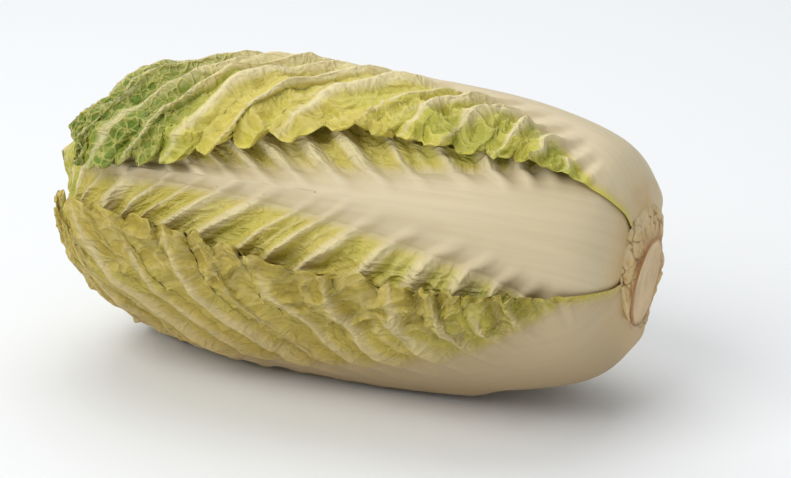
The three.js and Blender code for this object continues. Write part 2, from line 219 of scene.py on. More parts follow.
class Outline:
    """The head's profile, a Catmull-Rom curve through its points, tabled by distance along it. It goes
    on straight for LEAD_IN before its first point."""

    LEAD_IN, STEP = 5, 0.25

    def __init__(self, points):
        pads = np.vstack([points[:1], points, points[-1:]])
        t = np.linspace(0, 1, 60, endpoint=False)[:, None]
        pieces = []
        for p0, p1, p2, p3 in zip(pads, pads[1:], pads[2:], pads[3:]):
            v0, v1 = (p2 - p0) / 2, (p3 - p1) / 2
            cubic, square = 2 * p1 - 2 * p2 + v0 + v1, 3 * p2 - 3 * p1 - 2 * v0 - v1
            pieces.append(cubic * t**3 + square * t**2 + v0 * t + p1)
        curve = np.vstack([*pieces, points[-1:]])
        run = np.concatenate([[0], np.cumsum(np.hypot(*np.diff(curve, axis=0).T))])
        self.length = run[-1]
        before = curve[0] - (curve[4] - curve[0]) / run[4] * self.LEAD_IN
        self.s = np.arange(-self.LEAD_IN, self.length, self.STEP)
        curve, run = np.vstack([before, curve]), [-self.LEAD_IN, *run]
        self.x, self.r = (np.interp(self.s, run, values) for values in curve.T)
        dx, dr = np.gradient(self.x), np.gradient(self.r)
        size = np.hypot(dx, dr)
        self.nx, self.nr = dr / size, -dx / size

    def at(self, along):
        """x, radius and the two parts of the normal at a distance along the profile."""
        return [np.interp(along, self.s, table) for table in (self.x, self.r, self.nx, self.nr)]


OUTLINE = Outline(HEAD_OUTLINE)


def packing(along):
    """Share of a leaf's level that is kept: 1 over most of the head, less at the tip."""
    return 1 - TIP_PACKING * smoothstep(along, TIP_FROM, TIP_TO)


def head_point(along, turn, height):
    """The place of the outline's point, moved by height along its normal and turned round the axis."""
    x, r, nx, nr = OUTLINE.at(along)
    reach = r + height * nr
    angle = np.radians(turn)
    return np.stack([x + height * nx, -reach * np.cos(angle), AXIS_HEIGHT + reach * np.sin(angle)], -1)


def floor_height(along, turn):
    """The height over the outline at which the head meets the floor: r plus height times nr, times the
    downward part of the turn, equals the axis's height. Past the flat the underside bows up a little."""
    down = -np.sin(np.radians(turn))
    x, r, _, nr = OUTLINE.at(along)
    under = (down > 0.2) & (nr > 0.5)
    down, nr = np.where(under, down, 1), np.where(under, nr, 1)
    y = AXIS_HEIGHT / down * np.cos(np.radians(turn))
    past_x = np.maximum(0, np.abs(x - REST_FLAT.middle) - REST_FLAT.half_length)
    past_y = np.maximum(0, np.abs(y) - REST_FLAT.half_width)
    rise = REST_FLAT.bow * np.hypot(past_x, past_y)
    return np.where(under, ((AXIS_HEIGHT - rise) / down - r) / nr, 1e3)


def rest_share(along, turn):
    """How much of the resting flat's pressure is felt: 1 in its middle and 0 outside it."""
    off = np.abs((turn - REST_TURN + 180) % 360 - 180)
    across = fall(off, REST_HALF_TURN, REST_HALF_TURN + 12)
    return across * smoothstep(along, REST_FROM - 20, REST_FROM) * fall(along, REST_TO, REST_TO + 20)


class Cover:
    """A map of the greatest height reached over each cell of the outline."""

    STEP_ALONG, STEP_TURN = 2.0, 1.5  # a cell's size, in millimetres and degrees
    REACH = 2  # cells

    def __init__(self):
        self.rows = int(OUTLINE.length / self.STEP_ALONG) + 2
        self.columns = int(360 / self.STEP_TURN)
        self.height = np.full((self.rows, self.columns), -60.0)

    def raise_to(self, along, turn, height):
        """Keeps the larger of a cell's height and each height that falls in it."""
        row = np.clip(np.rint(along / self.STEP_ALONG).astype(int), 0, self.rows - 1)
        column = np.rint(turn / self.STEP_TURN).astype(int) % self.columns
        np.maximum.at(self.height, (row, column), height)

    def _spread(self, field, combine):
        """Combines each cell with its neighbours up to REACH cells away, along the head and then round it."""
        padded = np.pad(field, ((self.REACH, self.REACH), (0, 0)), mode="edge")
        field = combine([padded[k : k + self.rows] for k in range(2 * self.REACH + 1)], 0)
        return combine([np.roll(field, k, 1) for k in range(-self.REACH, self.REACH + 1)], 0)

    def draped(self, along, turn):
        """The height of a sheet laid over the map: the largest height near each cell, then evened out,
        and read between the cells."""
        field = self._spread(self._spread(self.height, np.max), np.mean)
        y = np.clip(along / self.STEP_ALONG, 0, self.rows - 1.001)
        x = (turn / self.STEP_TURN) % self.columns
        i, j = y.astype(int), x.astype(int) % self.columns
        u, v = x - np.floor(x), y - i
        near = lerp(field[i, j], field[i, (j + 1) % self.columns], u)
        far = lerp(field[i + 1, j], field[i + 1, (j + 1) % self.columns], u)
        return lerp(near, far, v)


# ---- A leaf ----


def rib_half_width(leaf, row):
    """Half width of the midrib: 1.5 times its own at the stem, narrowing as 1 / (1 + (row / 122)^3.2)."""
    return leaf.rib * (1.5 - 0.5 * smoothstep(row, 10, 85)) / (1 + (row / 122) ** 3.2) + 1.5


def vein_count(leaf, row, side, blade):
    """Counts the side veins: whole numbers lie on one. They stand FOOT_PITCH apart at the foot of the
    leaf and VEIN_PITCH past it. Each side has its own uneven spacing, and the veins wander a little."""
    table = np.arange(0, 400.0)
    pitch = lerp(FOOT_PITCH, VEIN_PITCH, smoothstep(table, *VEIN_STARTS))
    count = np.interp(row, table, np.cumsum(1 / pitch))
    uneven = 0.22 * wander(row / 27, 3 * side, leaf.seed)
    waver = 0.16 * wander(row / 22, 4 * blade + 9 * side, leaf.seed + 1) * smoothstep(blade, 0.05, 0.5)
    return count + uneven + waver


def vein_gap(row):
    """Distance from one side vein to the next, measured square to them."""
    return VEIN_LEAN * lerp(FOOT_PITCH, VEIN_PITCH, smoothstep(row, *VEIN_STARTS))


def edge_turn(leaf, row, side, count):
    """Turn from the midrib to the side edge: the leaf's own width, cut into lobes between the veins as
    sqrt|sin| of their count, with smaller notches of noise. Both fade before the tip, which is rounded off
    as sqrt(1 - 0.985 t^2.4)."""
    low, high = leaf.low, leaf.high
    widen = smoothstep(row, 90, 190)
    reach = np.where(side < 0, lerp(low[0], low[1], widen), lerp(high[0], high[1], widen))
    t = np.clip((row - (leaf.length - leaf.round)) / leaf.round, 0, 1)
    begun = smoothstep(row, 30, 70) * (1 - 0.9 * smoothstep(row, leaf.length - 90, leaf.length - 40))
    scallops = 1.6 * np.sqrt(np.abs(np.sin(np.pi * (LOBES_PER_VEIN * count + LOBE_SHIFT)))) - 1
    lively = np.clip(np.where(side < 0, leaf.ruffle[0], leaf.ruffle[1]) / 6, 0.3, 1)
    lobes = LOBE_TURN * lively * scallops * (0.9 + 0.4 * wander(row / 23, side, leaf.seed + 2))
    notches = 0.9 * wander(row / 4.5, side, leaf.seed + 3) + 0.5 * wander(row / 2, side, leaf.seed + 4)
    return (reach + begun * (lobes + notches)) * np.sqrt(1 - 0.985 * t**2.4)


def leaf_grid(leaf):
    """Rows down the leaf and spans across it. Spans lie closer where the leaf shows."""
    rows = np.linspace(0, leaf.length - 0.5, leaf.rows)
    half = leaf.columns // 2
    sides = []
    for shown, (near, far) in zip(leaf.shown, (leaf.low, leaf.high)):
        s = np.linspace(0, 1, 400)
        open_to = RIB_SPAN + (1 - RIB_SPAN) * min(1.0, shown / max(near, far))
        density = np.where(s < RIB_SPAN, 0.75, lerp(1.0, 0.3, smoothstep(s, open_to, open_to + 0.12)))
        run = np.concatenate([[0], np.cumsum(0.5 * (density[1:] + density[:-1]))])
        sides.append(np.interp(np.linspace(0, run[-1], half + 1), run, s))
    return rows, np.concatenate([-sides[0][:0:-1], sides[1]])


def relief(leaf, place):
    """The blade's relief, in millimetres over its lowest hollows, and the maps that colour it.

    Side veins are round ridges along whole counts that fade to the margin, with lesser ones half way and
    small pleats beside the midrib. Between them two nets of finer veins follow the borders of scattered
    cells, whose middles bulge out or sink. Folded noise, 1 - 2.2|noise|^0.8, adds sharp creases. All of it
    is kept over 0 by a rounded maximum, and flattens at the tip's margin."""
    seed, blade, count, row = leaf.seed, place.blade, place.count, place.row
    from_rib, out, side = place.from_rib, place.out, place.side
    gap = vein_gap(row)
    begin = smoothstep(from_rib, -13, 4) * smoothstep(row, 14, 60)
    fade = 1 - 0.75 * smoothstep(blade, 0.45, 1)

    number = np.rint(count)
    off = np.abs(count - number)
    strength = 0.45 + 0.85 * draw(number, np.where(side < 0, 1, 2), seed + 5)
    width = lerp(2.7, 0.9, blade**0.6) * (0.55 + 0.45 * gap / (VEIN_PITCH * VEIN_LEAN))
    vein = ridge(off * gap, width * (0.7 + 0.4 * strength)) * strength * begin * fade
    lesser = np.clip(1.5 * draw(np.floor(count), np.where(side < 0, 3, 4), seed + 6) - 0.4, 0, 1)
    lesser = ridge((0.5 - off) * gap, lerp(1.5, 0.7, blade)) * lesser * begin * fade
    pleat = np.abs(((count * 3 + 0.5 * wander(out / 9, count * 2, seed + 7)) % 1) - 0.5) * 2
    pleat = pleat * begin * smoothstep(from_rib, -2, 5) * (1 - 0.65 * smoothstep(from_rib, 12, 34))

    run_x = count * VEIN_PITCH * VEIN_LEAN + 2.2 * wander(out / 7, count * 1.3, seed + 8)
    run_y = out + 2.6 * wander(count * 1.7, out / 8, seed + 9)
    place.run_x, place.run_y = run_x / 5.8, run_y / 8.8
    border, own = cells(place.run_x, place.run_y, seed + 10)
    net = ridge(border, 0.13)
    fine_border, fine_own = cells(run_x / 2.9 + 5, run_y / 4.2, seed + 14)
    fine_net = ridge(fine_border, 0.15)
    small_net = ridge(cells(run_x / 1.5 + 7, run_y / 1.8, seed + 13)[0], 0.2)
    spread = smoothstep(from_rib, 2, 12) * smoothstep(row, 4, 30)
    crumple = (0.35 + 0.65 * fall(place.from_margin, *LOBE_BAND)) * smoothstep(row, 20, 75)
    bulge = smoothstep(border, 0, 0.65) * (2.4 * own - 1.3)
    crease, fine_crease = (
        1 - 2.2 * np.abs(wander(run_x / across, run_y / down, seed + k)) ** 0.8
        for across, down, k in ((4.8, 10.0, 16), (2.2, 4.0, 17))
    )
    broad = wander(run_x / 14, run_y / 17, seed + 18)

    sag = smoothstep(off, 0.06, 0.42) * begin
    ridges = lerp(RELIEF.vein, RELIEF.vein_at_margin, blade) * vein + RELIEF.pleat * pleat
    ridges = ridges + lerp(RELIEF.lesser, RELIEF.lesser_at_margin, blade) * lesser + RELIEF.sag * sag
    cloth = RELIEF.net * net + RELIEF.fine_net * fine_net * (0.3 + 0.7 * fine_own) + RELIEF.bulge * bulge
    cloth = cloth + RELIEF.crease * crease + RELIEF.fine_crease * fine_crease
    cloth = cloth * crumple * (1 - 0.8 * np.clip(vein, 0, 1)) + RELIEF.broad * broad
    height = (ridges + spread * cloth) * leaf.crinkle * (1 + 0.25 * place.green) + RELIEF.ground * spread
    height = soft_max(height, 0, 0.8) * (1 - 0.25 * smoothstep(place.along, 200, 285))
    height = (height - 0.4 * (1 - spread)) * (0.35 + 0.65 * smoothstep(place.from_tip, 2, 18))
    maps = {
        "vein": np.clip(vein * 1.05 + 0.5 * lesser, 0, 1),
        "net": spread * np.clip(0.8 * net + 0.45 * fine_net, 0, 1) * crumple,
        # Painted light and shade in the relief's lowest hollows: the colour there stands in for light glowing
        # through the tissue and for shade.
        "hollow": spread * fall(height, 0.2, 3.6),
        "fine_net": spread * small_net,
    }
    return height, maps


def fold_wave(count):
    """A wave from 0 to 1 and back for each whole count: a steep rise up to its crest, then a slow fall."""
    t = count % 1
    return np.where(t < FOLD_CREST, smoothstep(t, 0, FOLD_CREST), fall(t, FOLD_CREST, 1))


def ruffle(leaf, place):
    """The folds of the free margin, as a height, a slide along the leaf and a slide round the head.

    They grow towards the edge as (1 - distance / reach)^1.5. Each fold rises steeply out of its crease, its
    crest slides over it, and it falls slowly towards the tip. Smaller folds lie on it, with thin waves
    on the edge itself, and both fade at the tip, where one flap may stand out."""
    seed, edge, side, row = leaf.seed, place.from_margin, place.side, place.row
    low, high, tip = leaf.ruffle
    near_tip = smoothstep(place.along, leaf.length - 75, leaf.length - 15)
    lift = lerp(np.where(side < 0, low, high) * smoothstep(row, 22, 60), tip, near_tip)
    grown = smoothstep(row, 30, 130)
    round_tip = place.turn / FOLD_TURN * smoothstep(row, leaf.length - 60, leaf.length - 20)
    fold = LOBES_PER_VEIN * place.count + LOBE_SHIFT + round_tip
    crest = fold_wave(fold)
    small_crest = fold_wave(2.2 * fold + 0.5 * wander(row / 9, 3 * side, seed + 23))
    size = 0.72 + 0.4 * wander(row / 24, 5 * side, seed + 21)
    wide = np.clip(1 - edge / FOLD_REACH, 0, 1) ** 1.5
    narrow = np.clip(1 - edge / SMALL_FOLD_REACH, 0, 1) ** 1.4 * (1 - 0.85 * near_tip)
    thin = np.clip(1 - edge / WAVE_REACH, 0, 1) ** 1.5 * (1 - near_tip)
    quick = 2 * np.pi * (row + 0.4 * place.out) / WAVE_LENGTH + 2.2 * wander(row / 7, side, seed + 22)
    flare_turn, flare_width, flare_height = leaf.flare
    flare = ridge(place.turn - flare_turn, flare_width) * np.exp(-edge / FLARE_REACH)
    flare = flare_height * flare * smoothstep(place.along, TIP_FROM + 20, TIP_FROM + 75)
    height = lift * (size * (wide * crest + 0.4 * narrow * small_crest) + 0.12 * thin * (1 + np.sin(quick)))
    along = -grown * (0.36 * size * wide * crest**1.5 + 0.25 * narrow * small_crest)
    along = (along + 0.1 * thin * np.cos(quick)) * lift * (1 - 0.75 * near_tip)
    turn = (0.3 * narrow * (small_crest - 0.5) - 0.16 * wide * crest) * lift * side
    return height + flare, along, turn


def leaf_places(leaf):
    """Where each vertex of a leaf lies: the CAD leaf's rows and spans, with the blade's margin in lobes.

    A row starts on the midrib and slants towards the tip by up to BLADE_SLANT across the blade, as
    1.5 t - 0.5 t^2, and back towards the stem inside the midrib's flank. The span runs over the midrib
    first and then over the blade."""
    rows, spans = leaf_grid(leaf)
    row, span = np.meshgrid(rows, spans, indexing="ij")
    side = np.where(span < 0, -1.0, 1.0)
    reach = np.abs(span)
    blade = np.clip((reach - RIB_SPAN) / (1 - RIB_SPAN), 0, 1)
    count = vein_count(leaf, row, side, blade)
    edge = edge_turn(leaf, row, side, vein_count(leaf, row, side, np.ones_like(blade)))
    rib = np.minimum(np.degrees(rib_half_width(leaf, row) / OUTLINE.at(row)[1]), 0.9 * edge)
    across = np.where(reach < RIB_SPAN, rib * reach / RIB_SPAN, lerp(rib, edge, blade))
    slant = np.minimum(BLADE_SLANT * smoothstep(row, 15, 210), (leaf.length - row) * 0.84)
    inward = np.radians(np.maximum(rib - across, 0)) * OUTLINE.at(row)[1]
    back = 18 * (1 - np.exp(-inward / 9)) * smoothstep(row, 10, 90)
    along = LEAF_ROOT + row + slant * (1.5 * blade - 0.5 * blade**2) - back
    to_mm = DEGREE * OUTLINE.at(along)[1]  # from a degree round the head to millimetres
    from_tip = leaf.length + 1 - along
    from_rib = (across - rib) * to_mm
    shown = np.where(side < 0, *leaf.shown)
    place = Record(
        row=row, side=side, reach=reach, blade=blade, count=count, along=along,
        turn=leaf.turn + side * across, from_rib=from_rib, out=np.hypot(from_rib, along - row),
        from_margin=np.maximum(soft_min((edge - across) * to_mm, from_tip, 3.0), 0),
        from_tip=from_tip, lateral=across * side * to_mm, open=fall(across, shown, shown + 10),
    )
    place.green = greenness(leaf, place)
    return place


def rib_shape(leaf, place):
    """Height of the midrib over the blade: a rounded bar, (1 - t^2.4)^0.75 across at the stem and
    (1 - t^1.5)^0.75 past the middle, that thins to the tip as 1 / (1 + (along / 180)^4), with soft
    lengthwise flutes."""
    t = np.clip(place.reach / RIB_SPAN, 0, 1)
    along, lateral = place.along, place.lateral
    rise = leaf.rise * (0.25 + 0.75 / (1 + (along / 180) ** 4)) * (0.8 + 0.2 * smoothstep(along, 0, 25))
    rise = rise * (0.45 + 0.55 * smoothstep(place.from_tip, 0, 40))
    bar = (1 - t ** lerp(2.4, 1.5, smoothstep(along, 70, 190))) ** 0.75
    flutes = 0.32 * wander(lateral / 7.5, along / 150, leaf.seed + 30)
    flutes = flutes + 0.12 * wander(lateral / 2.4, along / 90, leaf.seed + 31)
    return bar * rise + flutes * bar * smoothstep(along, 25, 110)


def lay_leaf(leaf, cover):
    """The outer and inner face of a leaf laid over what the cover map holds, and its colour maps.

    The inner face is the larger of the leaf's own level and the map's height plus GAP, raised by relief
    and folds. The outer face lies the blade's and the midrib's thickness over it. Where that would pass
    the floor, the outermost leaves lie on the floor and the ones under them stay inside them."""
    place = leaf_places(leaf)
    bumps, maps = relief(leaf, place)
    lift, slide_along, slide_turn = ruffle(leaf, place)
    outermost = leaf.level > OUTERMOST_LEVEL
    press = rest_share(place.along, place.turn) if outermost else 0 * bumps
    along = np.clip(place.along + slide_along * (1 - press), LEAF_ROOT, OUTLINE.length - 1)
    turn = place.turn + slide_turn / (DEGREE * np.maximum(OUTLINE.at(along)[1], 12))

    thick = lerp(MARGIN_BLADE, BLADE, smoothstep(place.from_margin, 0, 9)) + rib_shape(leaf, place)
    base = leaf.level * packing(along) - 1.3 - 2.2 * smoothstep(place.from_rib, 3, 14)
    laid = soft_max(base + REST_PRESS * press, cover.draped(along, turn) + GAP)
    inside = laid + (bumps * place.open + lift) * (1 - press)
    outside = inside + thick
    floor = floor_height(along, turn) - (0 if outermost else 2.6 + 0.5 * max(0, -leaf.level - 7))
    over = outside > floor
    inside = np.where(over, np.minimum(inside, floor - np.maximum(0.6, 0.45 * thick)), inside)
    outside = np.where(over, floor, outside)
    cover.raise_to(along, turn, outside)

    maps = {name: value * place.open for name, value in maps.items()}
    for name in ("count", "run_x", "run_y", "green", "lateral", "along"):
        maps[name] = getattr(place, name)
    # Darker towards the underside: the lowest leaves' real browning, with painted shade added on the side
    # that faces the floor.
    under = smoothstep(-np.sin(np.radians(place.turn)), 0.3, 0.95)
    maps.update({
        "rib": fall(place.from_rib, -1.5, 5.0) * (0.25 + 0.75 * smoothstep(place.from_tip, 4, 50)),
        "edge": fall(place.from_margin, 0.5, 3.5),
        "lobe": fall(place.from_margin, *LOBE_BAND),
        "tuck": fall(place.from_margin, 8, 20),
        "tan": leaf.tan * (0.5 + 0.5 * under),
        "near_stem": fall(place.along, 0, 20),
        "begun": smoothstep(place.along, 20, 70),
    })
    return Record(along=along, turn=turn, outside=outside, inside=inside, maps=maps)


def greenness(leaf, place):
    """Green gathers at the tip by the leaf's own amount, and in the narrow blade beside the stem."""
    tip = smoothstep(place.along, 185, 278) * leaf.green
    base = 0.45 * fall(place.along, 60, 150) * smoothstep(place.from_rib, 1, 9)
    patch = 0.2 * wander(place.along / 21, place.turn / 15, leaf.seed + 40)
    return np.clip(np.maximum(tip, base) + patch * smoothstep(place.from_rib, 3, 20), 0, 1)


# ---- Meshes ----


def lowest_near(field):
    """The smallest of each cell and its eight neighbours."""
    padded = np.pad(field, 1, mode="edge")
    h, w = field.shape
    return np.min([padded[i : i + h, j : j + w] for i in range(3) for j in range(3)], 0)


def border_loop(rows, columns):
    """The places of a grid's border, in turn: down the first column, along the last row and back."""
    i, j = np.arange(rows), np.arange(columns)
    return (
        np.concatenate([i, np.full(columns - 1, rows - 1), i[-2::-1], np.zeros(columns - 2, int)]),
        np.concatenate([np.zeros(rows, int), j[1:], np.full(rows - 1, columns - 1), j[-2:0:-1]]),
    )


def grid_faces(rows, columns, first, flip=False):
    """Two triangles for each square of a grid whose vertices start at first."""
    i, j = np.meshgrid(np.arange(rows - 1), np.arange(columns - 1), indexing="ij")
    a = first + i * columns + j
    b, c, d = a + 1, a + columns + 1, a + columns
    faces = np.stack([a, b, c, a, c, d], -1).reshape(-1, 3)
    return faces[:, ::-1] if flip else faces


def leaf_mesh_arrays(shape):
    """A closed shell: the outer face in full, the inner face with every second row and column, kept
    under the outer one, and a rim of three triangles for each of its border's edges."""
    along, turn = shape.along, shape.turn
    rows, columns = along.shape
    outer = head_point(along, turn, shape.outside)
    low = lowest_near(shape.inside)
    for end in (0, -1):
        low[end], low[:, end] = shape.inside[end], shape.inside[:, end]
    inner = head_point(along, turn, low)[::2, ::2]
    half_rows, half_columns = inner.shape[:2]
    start = rows * columns
    i, j = border_loop(rows, columns)
    out_loop = i * columns + j
    i, j = border_loop(half_rows, half_columns)
    in_loop = start + i * half_columns + j
    o0, o1, o2 = out_loop[0::2], out_loop[1::2], np.roll(out_loop[0::2], -1)
    k0, k1 = in_loop, np.roll(in_loop, -1)
    rim = np.concatenate([np.stack(t, -1) for t in ((o0, o1, k0), (o1, k1, k0), (o1, o2, k1))])
    inside = grid_faces(half_rows, half_columns, start, flip=True)
    faces = np.concatenate([grid_faces(rows, columns, 0), inside, rim])
    points = np.concatenate([outer.reshape(-1, 3), inner.reshape(-1, 3)])
    maps = {
        name: np.concatenate([value.ravel(), value[::2, ::2].ravel()]) for name, value in shape.maps.items()
    }
    return points, faces, maps


def ring_faces(rings, sectors, first, last):
    """Triangles of a body of rings round the axis, closed at the vertices first and last."""
    i, j = np.meshgrid(np.arange(rings - 1), np.arange(sectors), indexing="ij")
    a = 1 + i * sectors + j
    b = 1 + i * sectors + (j + 1) % sectors
    sides = np.stack([a, b + sectors, b, a, a + sectors, b + sectors], -1).reshape(-1, 3)
    j = np.arange(sectors)
    k = (j + 1) % sectors
    top = np.stack([np.full(sectors, first), 1 + j, 1 + k], -1)
    end = 1 + (rings - 1) * sectors
    bottom = np.stack([np.full(sectors, last), end + k, end + j], -1)
    return np.concatenate([sides, top, bottom])


def put(name, data):
    """Adds an object to the scene, at the origin."""
    thing = bpy.data.objects.new(name, data)
    bpy.context.scene.collection.objects.link(thing)
    return thing


def add_piece(name, points, faces, maps, material, nodes, slot):
    """Puts arrays into a mesh, in metres, and hands it to the frame. Each map becomes an attribute, but
    the place across and along a leaf becomes its UV map."""
    mesh = bpy.data.meshes.new(name)
    mesh.from_pydata(points * MM, [], faces)
    mesh.polygons.foreach_set("use_smooth", np.ones(len(mesh.polygons), bool))
    if "lateral" in maps:
        corners = np.empty(len(mesh.loops), int)
        mesh.loops.foreach_get("vertex_index", corners)
        uv = np.stack([maps["lateral"][corners], maps["along"][corners]], -1) / 100
        mesh.uv_layers.new(name="leaf").data.foreach_set("uv", uv.astype(np.float32).ravel())
    for key, value in maps.items():
        if key not in ("lateral", "along"):
            mesh.attributes.new(key, "FLOAT", "POINT").data.foreach_set("value", value.astype(np.float32))
    mesh.validate()
    mesh.materials.append(material)
    piece = put(name, mesh)
    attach(piece, BODY)
    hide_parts(*nodes)


# ---- Shader expressions ----


def math_node(operation, reflected=False):
    """A method that adds a Math node to a socket's material."""
    def add(self, other):
        a, b = (other, self) if reflected else (self, other)
        return self.shader.node("ShaderNodeMath", {"operation": operation}, {0: a, 1: b})
    return add


class Socket:
    """An output socket in an expression: + - and * on it add Math nodes to its material."""

    __add__ = __radd__ = math_node("ADD")
    __mul__ = __rmul__ = math_node("MULTIPLY")
    __sub__, __rsub__ = math_node("SUBTRACT"), math_node("SUBTRACT", reflected=True)
    back_and_forth = math_node("PINGPONG")

    def __init__(self, shader, output):
        self.shader, self.output = shader, output

    def near_whole(self, width):
        """1 at whole numbers and 0 from width away."""
        return 1 - self.back_and_forth(0.5).band(0.0, width)

    def clamped(self):
        """Kept from 0 to 1."""
        return self.shader.node("ShaderNodeClamp", {}, {"Value": self})

    def band(self, low, high):
        """0 below low and 1 above high, smooth between them."""
        inputs = {"Value": self, "From Min": low, "From Max": high}
        return self.shader.node("ShaderNodeMapRange", {"interpolation_type": "SMOOTHSTEP"}, inputs)


class Shader:
    """A material's node tree, filled by expressions."""

    def __init__(self, name):
        self.material = bpy.data.materials.new(name)
        self.material.use_nodes = True
        self.tree = self.material.node_tree
        self.surface = self.tree.nodes["Principled BSDF"]

    def node(self, kind, settings, inputs, output=0):
        """Adds a node, sets its properties first and then the values or links of its sockets."""
        node = self.tree.nodes.new(kind)
        for key, value in settings.items():
            setattr(node, key, value)
        for key, value in inputs.items():
            self.feed(node.inputs[key], value)
        return Socket(self, node.outputs[output])

    def feed(self, socket, value):
        """Links a socket, or sets its value."""
        if isinstance(value, Socket):
            self.tree.links.new(value.output, socket)
        else:
            socket.default_value = value

    def attributes(self, *names):
        """The mesh's maps of these names."""
        return [self.node("ShaderNodeAttribute", {"attribute_name": name}, {}, "Fac") for name in names]

    def place(self, kind, *scale):
        """Object or UV coordinates, stretched by three factors."""
        source = self.node("ShaderNodeTexCoord", {}, {}, kind)
        return self.node("ShaderNodeMapping", {}, {"Vector": source, "Scale": scale})

    def plane(self, x, y):
        """Two values as coordinates."""
        return self.node("ShaderNodeCombineXYZ", {}, {"X": x, "Y": y})

    def noise(self, where, scale, detail=3.0, roughness=0.55):
        """Smooth noise, mostly from 0.3 to 0.7."""
        inputs = {"Vector": where, "Scale": scale, "Detail": detail, "Roughness": roughness}
        return self.node("ShaderNodeTexNoise", {}, inputs, "Fac")

    def warp(self, where, scale, reach):
        """Coordinates moved about by up to half of reach."""
        stir = self.node("ShaderNodeTexNoise", {}, {"Vector": where, "Scale": scale, "Detail": 1.0}, "Color")
        inputs = {0: stir, 1: (reach, reach, reach), 2: where}
        return self.node("ShaderNodeVectorMath", {"operation": "MULTIPLY_ADD"}, inputs)

    def cell_map(self, where, scale, feature):
        """Distance to the nearest of scattered points, or to the border between their cells."""
        inputs = {"Vector": where, "Scale": scale}
        return self.node("ShaderNodeTexVoronoi", {"feature": feature}, inputs, "Distance")

    def seams(self, where, scale, width):
        """1 on the borders between scattered cells and 0 from width away, in cells."""
        return 1 - self.cell_map(where, scale, "DISTANCE_TO_EDGE").band(0.0, width)

    def mix(self, share, a, b):
        """Colour a turned into b by share."""
        a, b = (one if isinstance(one, Socket) else (*one, 1.0) for one in (a, b))
        return self.node("ShaderNodeMix", {"data_type": "RGBA"}, {0: share, 6: a, 7: b}, 2)

    def layers(self, colour, *coats):
        """A colour under coats, each a share and the colour that it turns what lies below into."""
        for share, coat in coats:
            colour = self.mix(share, colour, coat)
        return colour

    def bump(self, height, distance, strength, under=None):
        """A normal raised by height times distance, in metres, over the normal under it."""
        inputs = {"Height": height, "Distance": distance, "Strength": strength}
        if under is not None:
            inputs["Normal"] = under
        return self.node("ShaderNodeBump", {}, inputs)

    def finish(self, inputs):
        """Feeds the surface's sockets and gives the material."""
        for key, value in inputs.items():
            self.feed(self.surface.inputs[key], value)
        return self.material


def flesh(weight, scale):
    """Constant sockets of light that soaks into plant tissue, by weight, over scale metres."""
    return {
        "Subsurface Weight": weight, "Subsurface Radius": (1.0, 0.85, 0.35), "Subsurface Scale": scale,
        "IOR": 1.42,
    }


